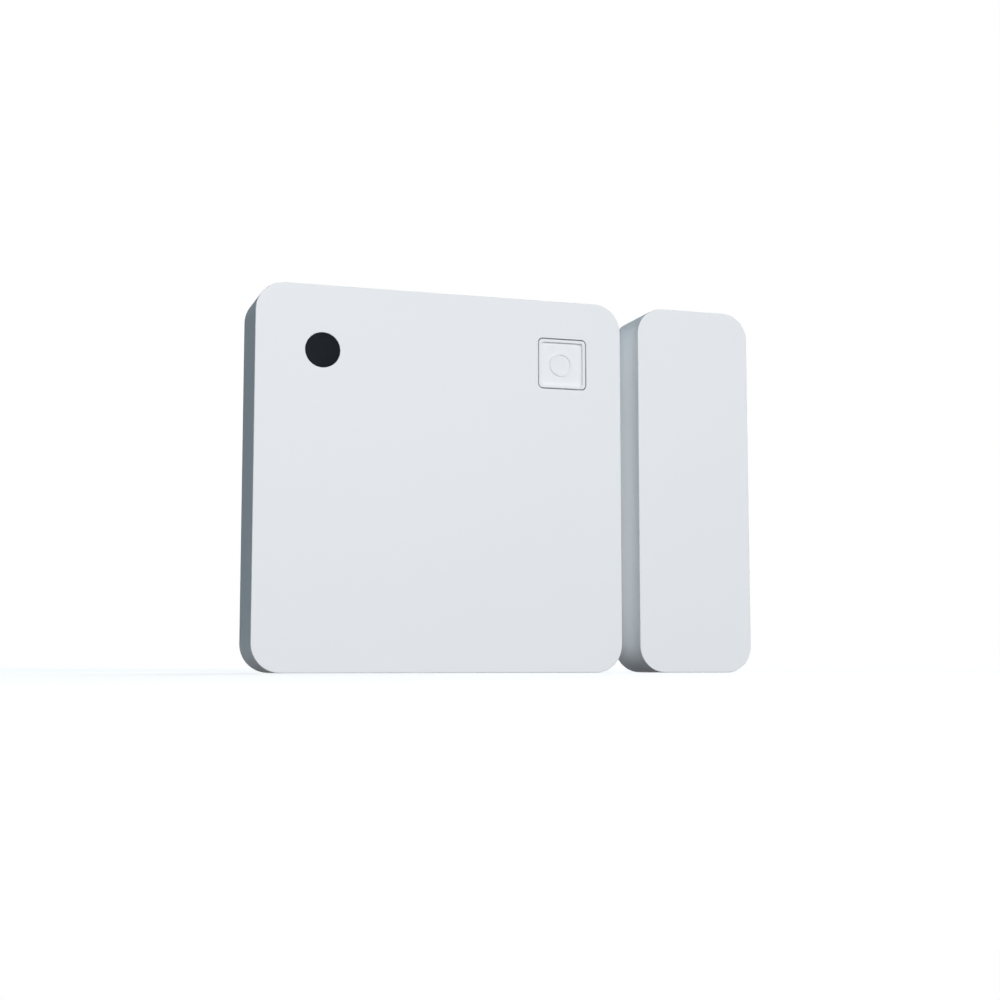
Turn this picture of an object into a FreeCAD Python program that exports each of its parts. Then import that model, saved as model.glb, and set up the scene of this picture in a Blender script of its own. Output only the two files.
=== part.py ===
import FreeCAD, Part
import math
import os

# Door and window sensor: a square sensor unit, stuck to the door frame, and a narrow magnet
# unit, stuck to the door leaf beside it. Sizes are in millimetres.
# X runs to the right, Y into the frame and Z up. The origin is the middle of the face where
# the sensor's foam pad meets the frame. A depth is measured from the units' front faces
# into the frame, and a height above the board is measured from the board towards the front.

# Outside of the two units
unit_height = 36.0
sensor_width = 36.0
magnet_unit_width = 11.85
unit_gap = 1.9  # between the units while the door is shut
sensor_corner = 2.7
magnet_corner = 2.6
front_edge = 0.08
rear_edge = 0.2
front_wall = 1.2
side_wall = 1.4
rim_wall = 0.9  # the side wall is thinner beside the back cover

# Back covers, which sit inside the rear rim of each unit
cover_plate = 1.2
cover_clearance = 0.13
lip_depth = 0.7
lip_width = 0.8
seat_gap = 0.05
snap_length = 4.0
snap_spacing = 16.0
snap_radius = 0.35
snap_free = 0.02  # between a snap bead and the wall that it passes
snap_groove = 0.15
pry_width = 6.0
pry_depth = 0.6
press_post_radius = 1.5
press_gap = 0.05
cell_rib_radius = 6.0
cell_rib_width = 1.0
cell_rib_least = 0.35

# Foam pads
pad_thickness = 0.8
pad_margin = 2.0
pad_corner = 1.5

# Coin cell
cell_diameter = 20.0
cell_thickness = 3.2
cell_play = 0.1
cell_sheet = 0.25
cell_cap_radius = 8.85
cell_cap_proud = 0.25
cell_seal_width = 0.35
cell_edge = 0.2
cell_fit = 0.02  # between the cell's own pieces

# Battery holder and contacts
holder_floor = 0.4
holder_wall = 0.73
holder_height = 3.5
holder_clearance = 0.12
holder_gap = 0.3  # from the holder to the housing's side walls
finger_notch_width = 8.0
finger_notch_depth = 1.6
finger_notch_angle = 225.0
peg_radius = 0.6
peg_height = 1.0
peg_gap = 0.1
peg_angles = (112.5, 337.5)
contact_lift = 0.35  # from the holder's floor to the cell
contact_sheet = 0.15
contact_touch = 0.01
contact_width = 3.0
contact_slot_gap = 0.2
contact_angle = 20.0
leaf_reach = 6.0
leaf_ramp = 3.0
leaf_tail = 1.0
contact_rise = 1.4  # from the holder's wall out to where the strip rises to the board
contact_foot = 1.3
tab_sheet = 0.2
tab_touch = 0.05
tab_angle = 45.0
tab_foot = 3.2

# Window at the front and what is behind it
fitting_drop = 6.14  # from the top edge down to the middle of the window and of the button
window_inset = 6.3
window_radius = 1.67
window_fit = 0.03
window_recess = 0.05
window_flange_radius = 2.5
window_flange = 0.4
chip_width = 1.2
chip_height = 1.6
led_thickness = 0.6
light_sensor_thickness = 0.7
divider = 0.4
divider_gap = 0.1
gasket_gap = 0.2
gasket_wall = 1.0

# Button
button_inset = 6.06
button_hole = 5.0
button_hole_corner = 0.5
button_clearance = 0.1
button_rim = 0.29
button_recess = 0.33
button_edge = 0.06
button_ring_radius = 1.2
button_ring_width = 0.3
button_ring_height = 0.12
button_flange = 0.4
button_flange_width = 6.2
button_flange_gap = 0.02
button_nib_radius = 0.8
button_nib = 0.08
button_nib_gap = 0.02

# Key switch under the button
switch_width = 3.4
switch_corner = 0.3
switch_floor = 0.2
switch_cavity_radius = 1.4
switch_sheet = 0.1
switch_ear_depth = 0.5
switch_ear_width = 2.0
switch_play = 0.03
dome_radius = 1.3
dome_height = 0.25
dome_sheet = 0.06
plunger_radius = 0.75
plunger_clearance = 0.1
plunger_flange_radius = 1.1
plunger_flange = 0.15
plunger_proud = 0.22
terminal_sheet = 0.1
terminal_width = 0.6
terminal_length = 0.5
terminal_spacing = 2.2

# Circuit board and the posts of the front shell that carry it
board_thickness = 0.8
board_clearance = 0.1
board_notch_gap = 0.2
board_strip = 3.0  # narrowest strip of board left beside the notch for the battery holder
post_radius = 1.2
pin_radius = 0.5
pin_clearance = 0.1
pin_head_radius = 0.95
pin_head = 0.4
pin_head_edge = 0.2
post_inset = 1.3
post_from_notch = 1.6
post_from_button = 7.4

# Reed switch on the back of the board
reed_glass_radius = 0.9
reed_glass_length = 14.0
reed_bore_radius = 0.6
reed_seal = 1.5
reed_lift = 0.1
reed_wall_gap = 0.25
reed_cover_gap = 0.2
reed_middle = -1.0
reed_wire_radius = 0.25
reed_wire_fit = 0.02
reed_wire_reach = 1.2
reed_wire_inside = 0.3
reed_blade_width = 0.8
reed_blade_sheet = 0.2
reed_blade_overlap = 1.0
reed_blade_gap = 0.01
reed_root_gap = 0.05

# Other electronic parts
radio_width = 5.0
radio_thickness = 0.9
radio_corner = 0.15
radio_from_window = 7.2
crystal_width = 3.2
crystal_height = 2.5
crystal_thickness = 0.7
crystal_corner = 0.4
crystal_edge = 0.13
crystal_gap = 0.8
crystal_raise = 1.0
antenna_width = 5.0
antenna_height = 2.0
antenna_thickness = 1.0
antenna_inset_x = 5.3
antenna_inset_z = 1.6
supply_width = 3.2
supply_height = 1.6
supply_thickness = 1.5
supply_inset_x = 6.0
supply_inset_z = 6.5
chip_part_width = 0.5
chip_part_length = 1.0
capacitor_thickness = 0.5
resistor_thickness = 0.35
capacitor_pitch = 1.3
capacitor_row_gap = 1.7
capacitor_row_drop = 0.9
resistor_pitch = 1.6
resistor_drop = 5.6
resistors_in_column = 4
capacitors_in_row = 4

# Magnet and its pocket
magnet_width = 5.0
magnet_length = 25.0
magnet_thickness = 3.0
magnet_edge = 0.2
magnet_clearance = 0.1
magnet_rib = 0.8
magnet_pocket_depth = 2.0
magnet_play = 0.05
magnet_stop_width = 4.0
magnet_stop_height = 1.5
magnet_stop_spacing = 14.0

cut_past = 1.0  # a cutter runs this far past the face that it opens

# Stacks of pieces from the front wall to the back cover: the deeper one sets the depth
switch_cavity = dome_height + switch_play + plunger_flange + switch_play
switch_height = switch_floor + switch_cavity + switch_sheet + plunger_proud
post_height = button_flange_gap + button_flange + button_nib + button_nib_gap + switch_height
board_stack = post_height + board_thickness + reed_lift + 2 * reed_glass_radius + reed_cover_gap
cell_stack = holder_floor + contact_lift + cell_thickness + cell_play + cell_rib_least
cover_inner = front_wall + max(board_stack, cell_stack)
cover_seat = cover_inner - lip_depth
unit_depth = cover_inner + cover_plate
board_front = front_wall + post_height
board_back = board_front + board_thickness
cell_front = front_wall + holder_floor + contact_lift
cell_back = cell_front + cell_thickness

# Places on the front, from the middle of the sensor
cell_radius = cell_diameter / 2
holder_inner = cell_radius + holder_clearance
holder_outer = holder_inner + holder_wall
cell_x = -sensor_width / 2 + side_wall + holder_gap + holder_outer
cell_z = -unit_height / 2 + side_wall + holder_gap + holder_outer
fitting_z = unit_height / 2 - fitting_drop
window_x = -sensor_width / 2 + window_inset
button_x = sensor_width / 2 - button_inset
board_x = sensor_width / 2 - side_wall - board_clearance
board_z = unit_height / 2 - side_wall - board_clearance
board_notch = holder_outer + board_notch_gap
board_reach = math.sqrt(board_notch**2 - (board_notch - board_strip) ** 2)  # where its strips end
board_posts = (
    (-board_x + post_inset, board_z - post_inset),
    (button_x - post_from_button, board_z - post_inset),
    (board_x - post_inset, -board_z + post_inset),
    (-board_x + post_inset, cell_z + board_reach + post_inset),
    (cell_x + board_reach + post_inset, -board_z + post_inset),
    (cell_x + board_notch + post_from_notch, cell_z),
)
reed_x = sensor_width / 2 - rim_wall - cover_clearance - lip_width - reed_wall_gap - reed_glass_radius
reed_depth = board_back + reed_lift + reed_glass_radius
reed_bore_half = reed_glass_length / 2 - reed_seal
radio_x = window_x + radio_from_window
crystal_x = radio_x + radio_width / 2 + crystal_gap + crystal_width / 2
magnet_x = sensor_width / 2 + unit_gap + magnet_unit_width / 2

TO_FRAME = FreeCAD.Vector(0, 1, 0)
UP = FreeCAD.Vector(0, 0, 1)


def at(x, depth, z):
    """Point at a depth from the front faces, at x and z from the sensor's middle."""
    return FreeCAD.Vector(x, depth - unit_depth - pad_thickness, z)


def disc(radius, x, z, start, end):
    """Round bar between two depths."""
    return Part.makeCylinder(radius, end - start, at(x, start, z), TO_FRAME)


def ring(outer, inner, x, z, start, end):
    """Round tube between two depths."""
    return disc(outer, x, z, start, end).cut(disc(inner, x, z, start, end))


def block(width, height, x, z, start, end):
    """Square-edged block between two depths, centred at x and z."""
    return Part.makeBox(width, end - start, height, at(x - width / 2, start, z - height / 2))


def slab(width, height, corner, x, z, start, end):
    """Block whose four edges along the depth are rounded."""
    body = block(width, height, x, z, start, end)
    edges = [edge for edge in body.Edges if edge.BoundBox.YLength > (end - start) / 2]
    return body.makeFillet(corner, edges)


def rim_edges(body, depth):
    """Edges of a body that lie flat at one depth."""
    level = at(0, depth, 0).y
    near = 1e-4
    return [
        edge
        for edge in body.Edges
        if abs(edge.BoundBox.YMin - level) < near and abs(edge.BoundBox.YMax - level) < near
    ]


def on_board(width, height, x, z, thickness):
    """Block seated on the front of the circuit board."""
    return block(width, height, x, z, board_front - thickness, board_front)


def bent_strip(route, sheet, width, angle):
    """Bent metal strip in a plane through the cell's axis.

    The route is the strip's middle line, as points of distance from the axis and depth.
    The angle goes round the axis from X towards Z.
    """
    normals = []
    for (start_s, start_d), (end_s, end_d) in zip(route, route[1:]):
        length = math.hypot(end_s - start_s, end_d - start_d)
        normals.append(((start_d - end_d) / length, (end_s - start_s) / length))
    before = [normals[0]] + normals
    after = normals + [normals[-1]]
    near_side = []
    far_side = []
    for (s, depth), (a_s, a_d), (b_s, b_d) in zip(route, before, after):
        share = sheet / 2 / (1 + a_s * b_s + a_d * b_d)
        near_side.append((s + (a_s + b_s) * share, depth + (a_d + b_d) * share))
        far_side.append((s - (a_s + b_s) * share, depth - (a_d + b_d) * share))
    outward = FreeCAD.Vector(math.cos(math.radians(angle)), 0, math.sin(math.radians(angle)))
    across = FreeCAD.Vector(-outward.z, 0, outward.x)
    outline = [
        at(cell_x, depth, cell_z) + outward * s - across * (width / 2)
        for s, depth in near_side + far_side[::-1]
    ]
    face = Part.Face(Part.makePolygon(outline + outline[:1]))
    return face.extrude(across * width)


def radial_bar(near, far, width, start, end, angle):
    """Straight bar out from the cell's axis, between two distances and two depths."""
    middle = (start + end) / 2
    return bent_strip([(near, middle), (far, middle)], end - start, width, angle)


def around_cell(distance, angle):
    """Place at a distance from the cell's axis, at an angle from X towards Z."""
    turn = math.radians(angle)
    return cell_x + distance * math.cos(turn), cell_z + distance * math.sin(turn)


# Housings and back covers

def snap_bars(width, x, radius, length):
    """Four bars along Z at the sides of a back cover: its snap beads, or their grooves."""
    reach = width / 2 - rim_wall - snap_free - snap_radius
    depth = (cover_seat + seat_gap + cover_inner) / 2
    return [
        Part.makeCylinder(radius, length, at(x + side * reach, depth, middle - length / 2), UP)
        for side in (-1, 1)
        for middle in (-snap_spacing / 2, snap_spacing / 2)
    ]


def housing(width, corner, x):
    """Closed front and side walls of one unit, with a wider seat for the cover at the back."""
    body = slab(width, unit_height, corner, x, 0, 0, unit_depth)
    body = body.makeFillet(front_edge, rim_edges(body, 0))
    body = body.makeFillet(rear_edge, rim_edges(body, unit_depth))
    for wall, start in ((side_wall, front_wall), (rim_wall, cover_seat)):
        hollow_width = width - 2 * wall
        hollow_height = unit_height - 2 * wall
        past = unit_depth + cut_past
        body = body.cut(slab(hollow_width, hollow_height, corner - wall, x, 0, start, past))
    body = body.cut(snap_bars(width, x, snap_radius + snap_groove, snap_length + 2 * snap_groove))
    pry_start = unit_depth - pry_depth
    pry_reach = 2 * (rim_wall + cover_clearance / 2)
    pry_slot = block(pry_width, pry_reach, x, -unit_height / 2, pry_start, unit_depth + cut_past)
    return body.cut(pry_slot)


def cover(width, corner, x):
    """Back cover of one unit: a plate, a lip that seats in the housing, and snap beads."""
    side = rim_wall + cover_clearance
    plate_width = width - 2 * side
    plate_height = unit_height - 2 * side
    body = slab(plate_width, plate_height, corner - side, x, 0, cover_seat + seat_gap, unit_depth)
    body = body.makeFillet(rear_edge, rim_edges(body, unit_depth))
    inner_corner = corner - side - lip_width
    inner_width = plate_width - 2 * lip_width
    inner_height = plate_height - 2 * lip_width
    start = cover_seat - cut_past
    body = body.cut(slab(inner_width, inner_height, inner_corner, x, 0, start, cover_inner))
    return body.fuse(snap_bars(width, x, snap_radius, snap_length))


def board_post(x, z):
    """Post of the front shell with a pin through the board, staked over behind it."""
    post = disc(post_radius, x, z, front_wall / 2, board_front)
    pin = disc(pin_radius, x, z, front_wall, board_back + pin_head / 2)
    head = disc(pin_head_radius, x, z, board_back, board_back + pin_head)
    head = head.makeFillet(pin_head_edge, rim_edges(head, board_back + pin_head))
    return post.fuse([pin, head])


def front_shell():
    """Sensor housing, with the holes at the front, the board posts and the holder's pegs."""
    body = housing(sensor_width, sensor_corner, 0)
    opened = front_wall + cut_past
    body = body.cut(disc(window_radius, window_x, fitting_z, -cut_past, opened))
    hole = slab(
        button_hole, button_hole, button_hole_corner, button_x, fitting_z, -cut_past, opened
    )
    body = body.cut(hole)
    body = body.fuse([board_post(x, z) for x, z in board_posts])
    peg_distance = holder_outer + peg_gap + peg_radius
    pegs = [
        disc(peg_radius, *around_cell(peg_distance, angle), front_wall / 2, front_wall + peg_height)
        for angle in peg_angles
    ]
    return body.fuse(pegs).removeSplitter()


def back_cover():
    """Sensor's back cover, with a ring that keeps the cell in and a post behind the switch."""
    body = cover(sensor_width, sensor_corner, 0)
    inside = cover_inner + cover_plate / 2
    cell_rib = ring(
        cell_rib_radius,
        cell_rib_radius - cell_rib_width,
        cell_x,
        cell_z,
        cell_back + cell_play,
        inside,
    )
    press_post = disc(press_post_radius, button_x, fitting_z, board_back + press_gap, inside)
    return body.fuse([cell_rib, press_post]).removeSplitter()


def foam_pad(width, x):
    """Plain solid of an adhesive foam pad, from the back cover to the surface it sticks to."""
    pad_width = width - 2 * pad_margin
    pad_height = unit_height - 2 * pad_margin
    end = unit_depth + pad_thickness
    return slab(pad_width, pad_height, pad_corner, x, 0, unit_depth, end)


def sensor_foam_pad():
    return foam_pad(sensor_width, 0)


# Circuit board and the parts soldered to it

def circuit_board():
    """Board with a round notch for the battery holder and holes for the shell's pins."""
    corner = sensor_corner - side_wall - board_clearance
    body = slab(2 * board_x, 2 * board_z, corner, 0, 0, board_front, board_back)
    start = board_front - cut_past
    end = board_back + cut_past
    low_x = -board_x - cut_past
    low_z = -board_z - cut_past
    for high_x, high_z in ((cell_x, cell_z + board_reach), (cell_x + board_reach, cell_z)):
        width = high_x - low_x
        height = high_z - low_z
        body = body.cut(block(width, height, low_x + width / 2, low_z + height / 2, start, end))
    body = body.cut(disc(board_notch, cell_x, cell_z, start, end))
    holes = [disc(pin_radius + pin_clearance, x, z, start, end) for x, z in board_posts]
    return body.cut(holes)


def radio_chip():
    front = board_front - radio_thickness
    return slab(radio_width, radio_width, radio_corner, radio_x, fitting_z, front, board_front)


def crystal_can():
    front = board_front - crystal_thickness
    z = fitting_z + crystal_raise
    can = slab(crystal_width, crystal_height, crystal_corner, crystal_x, z, front, board_front)
    return can.makeFillet(crystal_edge, rim_edges(can, front))


def chip_antenna():
    x = board_x - antenna_inset_x
    z = -board_z + antenna_inset_z
    return on_board(antenna_width, antenna_height, x, z, antenna_thickness)


def supply_capacitor():
    """Large capacitor on the back of the board, beside the reed switch."""
    x = board_x - supply_inset_x
    z = -board_z + supply_inset_z
    return block(supply_width, supply_height, x, z, board_back, board_back + supply_thickness)


def capacitors():
    """Two rows of small capacitors below the crystal."""
    first_x = crystal_x - crystal_width / 2
    first_z = fitting_z + crystal_raise - crystal_height / 2 - capacitor_row_drop
    return Part.makeCompound(
        [
            on_board(
                chip_part_width,
                chip_part_length,
                first_x + column * capacitor_pitch,
                first_z - row * capacitor_row_gap,
                capacitor_thickness,
            )
            for row in range(2)
            for column in range(capacitors_in_row)
        ]
    )


def resistors():
    """Two columns of small resistors below the button."""
    return Part.makeCompound(
        [
            on_board(
                chip_part_length,
                chip_part_width,
                button_x + side * resistor_pitch,
                fitting_z - resistor_drop - row * resistor_pitch,
                resistor_thickness,
            )
            for side in (-0.5, 0.5)
            for row in range(resistors_in_column)
        ]
    )


# Window and the two parts behind it

chip_offset = divider / 2 + divider_gap + chip_width / 2
gasket_inner = math.hypot(chip_offset + chip_width / 2, chip_height / 2) + gasket_gap


def status_led():
    return on_board(chip_width, chip_height, window_x - chip_offset, fitting_z, led_thickness)


def light_sensor():
    x = window_x + chip_offset
    return on_board(chip_width, chip_height, x, fitting_z, light_sensor_thickness)


def window_lens():
    """Smoked lens in the front wall, with a flange behind it."""
    lens_radius = window_radius - window_fit
    back = front_wall + window_flange
    lens = disc(lens_radius, window_x, fitting_z, window_recess, back)
    flange = disc(window_flange_radius, window_x, fitting_z, front_wall, back)
    return lens.fuse(flange).removeSplitter()


def light_gasket():
    """Black ring from the lens to the board, with a bar between the two parts inside."""
    start = front_wall + window_flange
    outer = gasket_inner + gasket_wall
    body = ring(outer, gasket_inner, window_x, fitting_z, start, board_front)
    bar = block(divider, 2 * gasket_inner + gasket_wall, window_x, fitting_z, start, board_front)
    return body.fuse(bar).removeSplitter()


# Button and key switch

def button_cap():
    """Square cap with a rim, a sunken panel with a plain raised ring, a flange and a nib."""
    width = button_hole - 2 * button_clearance
    corner = button_hole_corner - button_clearance
    flange_start = front_wall + button_flange_gap
    flange_end = flange_start + button_flange
    cap = slab(width, width, corner, button_x, fitting_z, 0, flange_end)
    cap = cap.makeFillet(button_edge, rim_edges(cap, 0))
    panel_width = width - 2 * button_rim
    panel_corner = corner - button_rim / 2
    panel = slab(
        panel_width, panel_width, panel_corner, button_x, fitting_z, -cut_past, button_recess
    )
    cap = cap.cut(panel)
    mark = ring(
        button_ring_radius,
        button_ring_radius - button_ring_width,
        button_x,
        fitting_z,
        button_recess - button_ring_height,
        button_recess + button_flange,
    )
    flange = block(
        button_flange_width, button_flange_width, button_x, fitting_z, flange_start, flange_end
    )
    nib = disc(button_nib_radius, button_x, fitting_z, flange_start, flange_end + button_nib)
    return cap.fuse([mark, flange, nib]).removeSplitter()


switch_inner = board_front - switch_floor  # level of the floor inside the switch
switch_top = switch_inner - switch_cavity  # level of the top of its moulded body
plunger_seat = switch_inner - dome_height - switch_play


def switch_body():
    body = slab(
        switch_width, switch_width, switch_corner, button_x, fitting_z, switch_top, board_front
    )
    start = switch_top - cut_past
    return body.cut(disc(switch_cavity_radius, button_x, fitting_z, start, switch_inner))


def switch_cover():
    """Sheet metal cover with two ears folded down over the switch body."""
    front = switch_top - switch_sheet
    plate = slab(
        switch_width, switch_width, switch_corner, button_x, fitting_z, front, switch_top
    )
    ear_x = switch_width / 2 + switch_sheet / 2
    ears = [
        block(
            switch_sheet,
            switch_ear_width,
            button_x + side * ear_x,
            fitting_z,
            front,
            front + switch_ear_depth,
        )
        for side in (-1, 1)
    ]
    hole_radius = plunger_radius + plunger_clearance
    hole = disc(hole_radius, button_x, fitting_z, front - cut_past, switch_top + cut_past)
    return plate.fuse(ears).cut(hole).removeSplitter()


def switch_dome():
    """Thin metal dome on the floor of the switch, which snaps flat under the plunger."""
    sphere_radius = (dome_radius**2 + dome_height**2) / (2 * dome_height)
    centre = at(button_x, switch_inner - dome_height + sphere_radius, fitting_z)
    outer = Part.makeSphere(sphere_radius, centre)
    inner = Part.makeSphere(sphere_radius - dome_sheet, centre)
    start = switch_inner - dome_height - dome_sheet
    return outer.cut(inner).common(disc(dome_radius, button_x, fitting_z, start, switch_inner))


def switch_plunger():
    """Round plunger that stands out of the cover and rests on the dome."""
    front = switch_top - switch_sheet - plunger_proud
    stem = disc(plunger_radius, button_x, fitting_z, front, plunger_seat)
    flange_start = plunger_seat - plunger_flange
    flange = disc(plunger_flange_radius, button_x, fitting_z, flange_start, plunger_seat)
    return stem.fuse(flange).removeSplitter()


def switch_terminals():
    """Four tin-plated feet at two sides of the switch body."""
    out = switch_width / 2 + terminal_length / 2
    return Part.makeCompound(
        [
            on_board(
                terminal_width,
                terminal_length,
                button_x + across * terminal_spacing / 2,
                fitting_z + side * out,
                terminal_sheet,
            )
            for across in (-1, 1)
            for side in (-1, 1)
        ]
    )


# Reed switch, which lies along Z at the magnet's side of the board

def reed_wire(side, inside):
    """Lead of the reed switch: out through the seal, then down to the board."""
    start = reed_middle + side * (reed_bore_half - inside)
    end = reed_middle + side * (reed_glass_length / 2 + reed_wire_reach)
    low = min(start, end)
    run = Part.makeCylinder(reed_wire_radius, abs(end - start), at(reed_x, reed_depth, low), UP)
    bend = Part.makeSphere(reed_wire_radius, at(reed_x, reed_depth, end))
    foot = disc(reed_wire_radius, reed_x, end, board_back, reed_depth)
    return run.fuse([bend, foot])


def reed_blade(low, high, start):
    """Flat blade between two heights, with its front face at a depth."""
    height = high - low
    return block(
        reed_blade_width, height, reed_x, low + height / 2, start, start + reed_blade_sheet
    )


def reed_glass():
    """Sealed glass tube with a bore, and a lead's hole through each end."""
    low = reed_middle - reed_glass_length / 2
    tube = Part.makeCylinder(
        reed_glass_radius, reed_glass_length, at(reed_x, reed_depth, low), UP
    )
    ends = [edge for edge in tube.Edges if edge.BoundBox.ZLength < reed_glass_radius]
    tube = tube.makeFillet(reed_glass_radius - reed_bore_radius, ends)
    bore_low = at(reed_x, reed_depth, reed_middle - reed_bore_half)
    bore = Part.makeCylinder(reed_bore_radius, 2 * reed_bore_half, bore_low, UP)
    hole_low = at(reed_x, reed_depth, low - cut_past)
    hole_length = reed_glass_length + 2 * cut_past
    hole = Part.makeCylinder(reed_wire_radius + reed_wire_fit, hole_length, hole_low, UP)
    return tube.cut([bore, hole])


def reed_fixed_blade():
    """Upper blade and its lead in one piece."""
    low = reed_middle - reed_blade_overlap / 2
    high = reed_middle + reed_bore_half - reed_root_gap
    blade = reed_blade(low, high, reed_depth + reed_blade_gap / 2)
    return blade.fuse(reed_wire(1, 2 * reed_wire_inside)).removeSplitter()


def reed_moving_blade():
    """Lower blade, which bends towards the front of the sensor when the magnet goes away."""
    low = reed_middle - reed_bore_half + reed_wire_inside + reed_root_gap
    high = reed_middle + reed_blade_overlap / 2
    return reed_blade(low, high, reed_depth - reed_blade_gap / 2 - reed_blade_sheet)


def reed_lead():
    """Lead that carries the moving blade."""
    return reed_wire(-1, reed_wire_inside).removeSplitter()


# Battery holder, contacts and coin cell

def battery_holder():
    """Round cup on the front wall, with slots for the contacts and a notch for a finger."""
    end = front_wall + holder_height
    floor_back = front_wall + holder_floor
    body = disc(holder_outer, cell_x, cell_z, front_wall, end)
    body = body.cut(disc(holder_inner, cell_x, cell_z, floor_back, end + cut_past))
    near = cell_radius - cut_past
    far = holder_outer + cut_past
    past = end + cut_past
    slot_width = contact_width + 2 * contact_slot_gap
    contact_slot_end = floor_back + contact_sheet + contact_slot_gap
    contact_slot = radial_bar(near, far, slot_width, floor_back, contact_slot_end, contact_angle)
    tab_start = cell_front - contact_slot_gap
    tab_slot = radial_bar(near, far, slot_width, tab_start, past, tab_angle)
    notch_start = end - finger_notch_depth
    notch = radial_bar(near, far, finger_notch_width, notch_start, past, finger_notch_angle)
    return body.cut([contact_slot, tab_slot, notch])


def negative_contact():
    """Spring strip under the cell with two raised leaves, drawn pressed by the cell."""
    flat = front_wall + holder_floor + contact_sheet / 2
    raised = cell_front - contact_touch - contact_sheet / 2
    foot = board_front - contact_sheet / 2
    rise = holder_outer + contact_rise
    route = [
        (-leaf_reach - leaf_tail, (raised + flat) / 2),
        (-leaf_reach, raised),
        (-leaf_reach + leaf_ramp, flat),
        (leaf_reach - leaf_ramp, flat),
        (leaf_reach, raised),
        (leaf_reach + leaf_tail, flat),
        (rise, flat),
        (rise, foot),
        (rise + contact_foot, foot),
    ]
    return bent_strip(route, contact_sheet, contact_width, contact_angle)


def positive_contact():
    """Bent tab against the side of the cell, soldered to the back of the board."""
    tab = cell_radius + tab_touch + tab_sheet / 2
    foot = board_back + tab_sheet / 2
    route = [(tab, cell_front), (tab, foot), (tab + tab_foot, foot)]
    return bent_strip(route, tab_sheet, contact_width, tab_angle)


cell_rim = cell_front + cell_cap_proud  # level of the can's folded rim
cell_seal_radius = cell_cap_radius + cell_seal_width


def cell_can():
    """Positive can of the coin cell, folded inwards round the seal at the front."""
    can = disc(cell_radius, cell_x, cell_z, cell_rim, cell_back)
    can = can.makeFillet(cell_edge, rim_edges(can, cell_back))
    hollow = disc(
        cell_radius - cell_sheet, cell_x, cell_z, cell_rim + cell_sheet, cell_back - cell_sheet
    )
    mouth = disc(cell_seal_radius, cell_x, cell_z, cell_rim - cut_past, cell_back - 2 * cell_sheet)
    return can.cut([hollow, mouth])


def cell_gasket():
    """Seal between the cap and the can."""
    floor = cell_back - cell_sheet
    inner = cell_cap_radius + cell_fit
    neck = ring(cell_seal_radius - cell_fit, inner, cell_x, cell_z, cell_rim, floor)
    under = ring(
        cell_radius - cell_sheet - cell_fit,
        inner,
        cell_x,
        cell_z,
        cell_rim + cell_sheet + cell_fit,
        floor,
    )
    return neck.fuse(under).removeSplitter()


def cell_cap():
    """Negative cap of the coin cell, a shallow dish."""
    end = cell_back - 2 * cell_sheet
    cap = disc(cell_cap_radius, cell_x, cell_z, cell_front, end)
    cap = cap.makeFillet(cell_edge, rim_edges(cap, cell_front))
    inner = cell_cap_radius - cell_sheet
    return cap.cut(disc(inner, cell_x, cell_z, cell_front + cell_sheet, end + cut_past))


def cell_filling():
    """Active discs inside the coin cell, as one piece."""
    radius = cell_cap_radius - cell_sheet - cell_fit
    start = cell_front + cell_sheet
    return disc(radius, cell_x, cell_z, start, cell_back - cell_sheet)


# Magnet unit

def magnet_shell():
    """Magnet unit's housing, with a ribbed pocket round the magnet."""
    body = housing(magnet_unit_width, magnet_corner, magnet_x)
    pocket_width = magnet_width + 2 * magnet_clearance
    pocket_length = magnet_length + 2 * magnet_clearance
    end = front_wall + magnet_pocket_depth
    ribs = block(
        pocket_width + 2 * magnet_rib,
        pocket_length + 2 * magnet_rib,
        magnet_x,
        0,
        front_wall / 2,
        end,
    )
    pocket = block(pocket_width, pocket_length, magnet_x, 0, front_wall, end + cut_past)
    return body.fuse(ribs).cut(pocket).removeSplitter()


def magnet_back_cover():
    """Magnet unit's back cover, with two stops that keep the magnet in its pocket."""
    body = cover(magnet_unit_width, magnet_corner, magnet_x)
    start = front_wall + magnet_thickness + magnet_play
    end = cover_inner + cover_plate / 2
    stops = [
        block(magnet_stop_width, magnet_stop_height, magnet_x, z, start, end)
        for z in (-magnet_stop_spacing / 2, magnet_stop_spacing / 2)
    ]
    return body.fuse(stops).removeSplitter()


def bar_magnet():
    end = front_wall + magnet_thickness
    bar = block(magnet_width, magnet_length, magnet_x, 0, front_wall, end)
    return bar.makeFillet(magnet_edge, bar.Edges)


def magnet_foam_pad():
    return foam_pad(magnet_unit_width, magnet_x)


SUB_PARTS = (
    front_shell,
    back_cover,
    sensor_foam_pad,
    circuit_board,
    radio_chip,
    crystal_can,
    chip_antenna,
    supply_capacitor,
    capacitors,
    resistors,
    status_led,
    light_sensor,
    window_lens,
    light_gasket,
    button_cap,
    switch_body,
    switch_cover,
    switch_dome,
    switch_plunger,
    switch_terminals,
    reed_glass,
    reed_fixed_blade,
    reed_moving_blade,
    reed_lead,
    battery_holder,
    negative_contact,
    positive_contact,
    cell_can,
    cell_gasket,
    cell_cap,
    cell_filling,
    magnet_shell,
    magnet_back_cover,
    bar_magnet,
    magnet_foam_pad,
)

os.makedirs("parts", exist_ok=True)
for sub_part in SUB_PARTS:
    shape = sub_part()
    shape.exportStep("parts/" + sub_part.__name__ + ".step")
    print(sub_part.__name__, len(shape.Solids), shape.isValid(), round(shape.Volume, 3))
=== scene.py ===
import math

import bmesh
import bpy
from mathutils import Matrix, Vector


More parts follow.
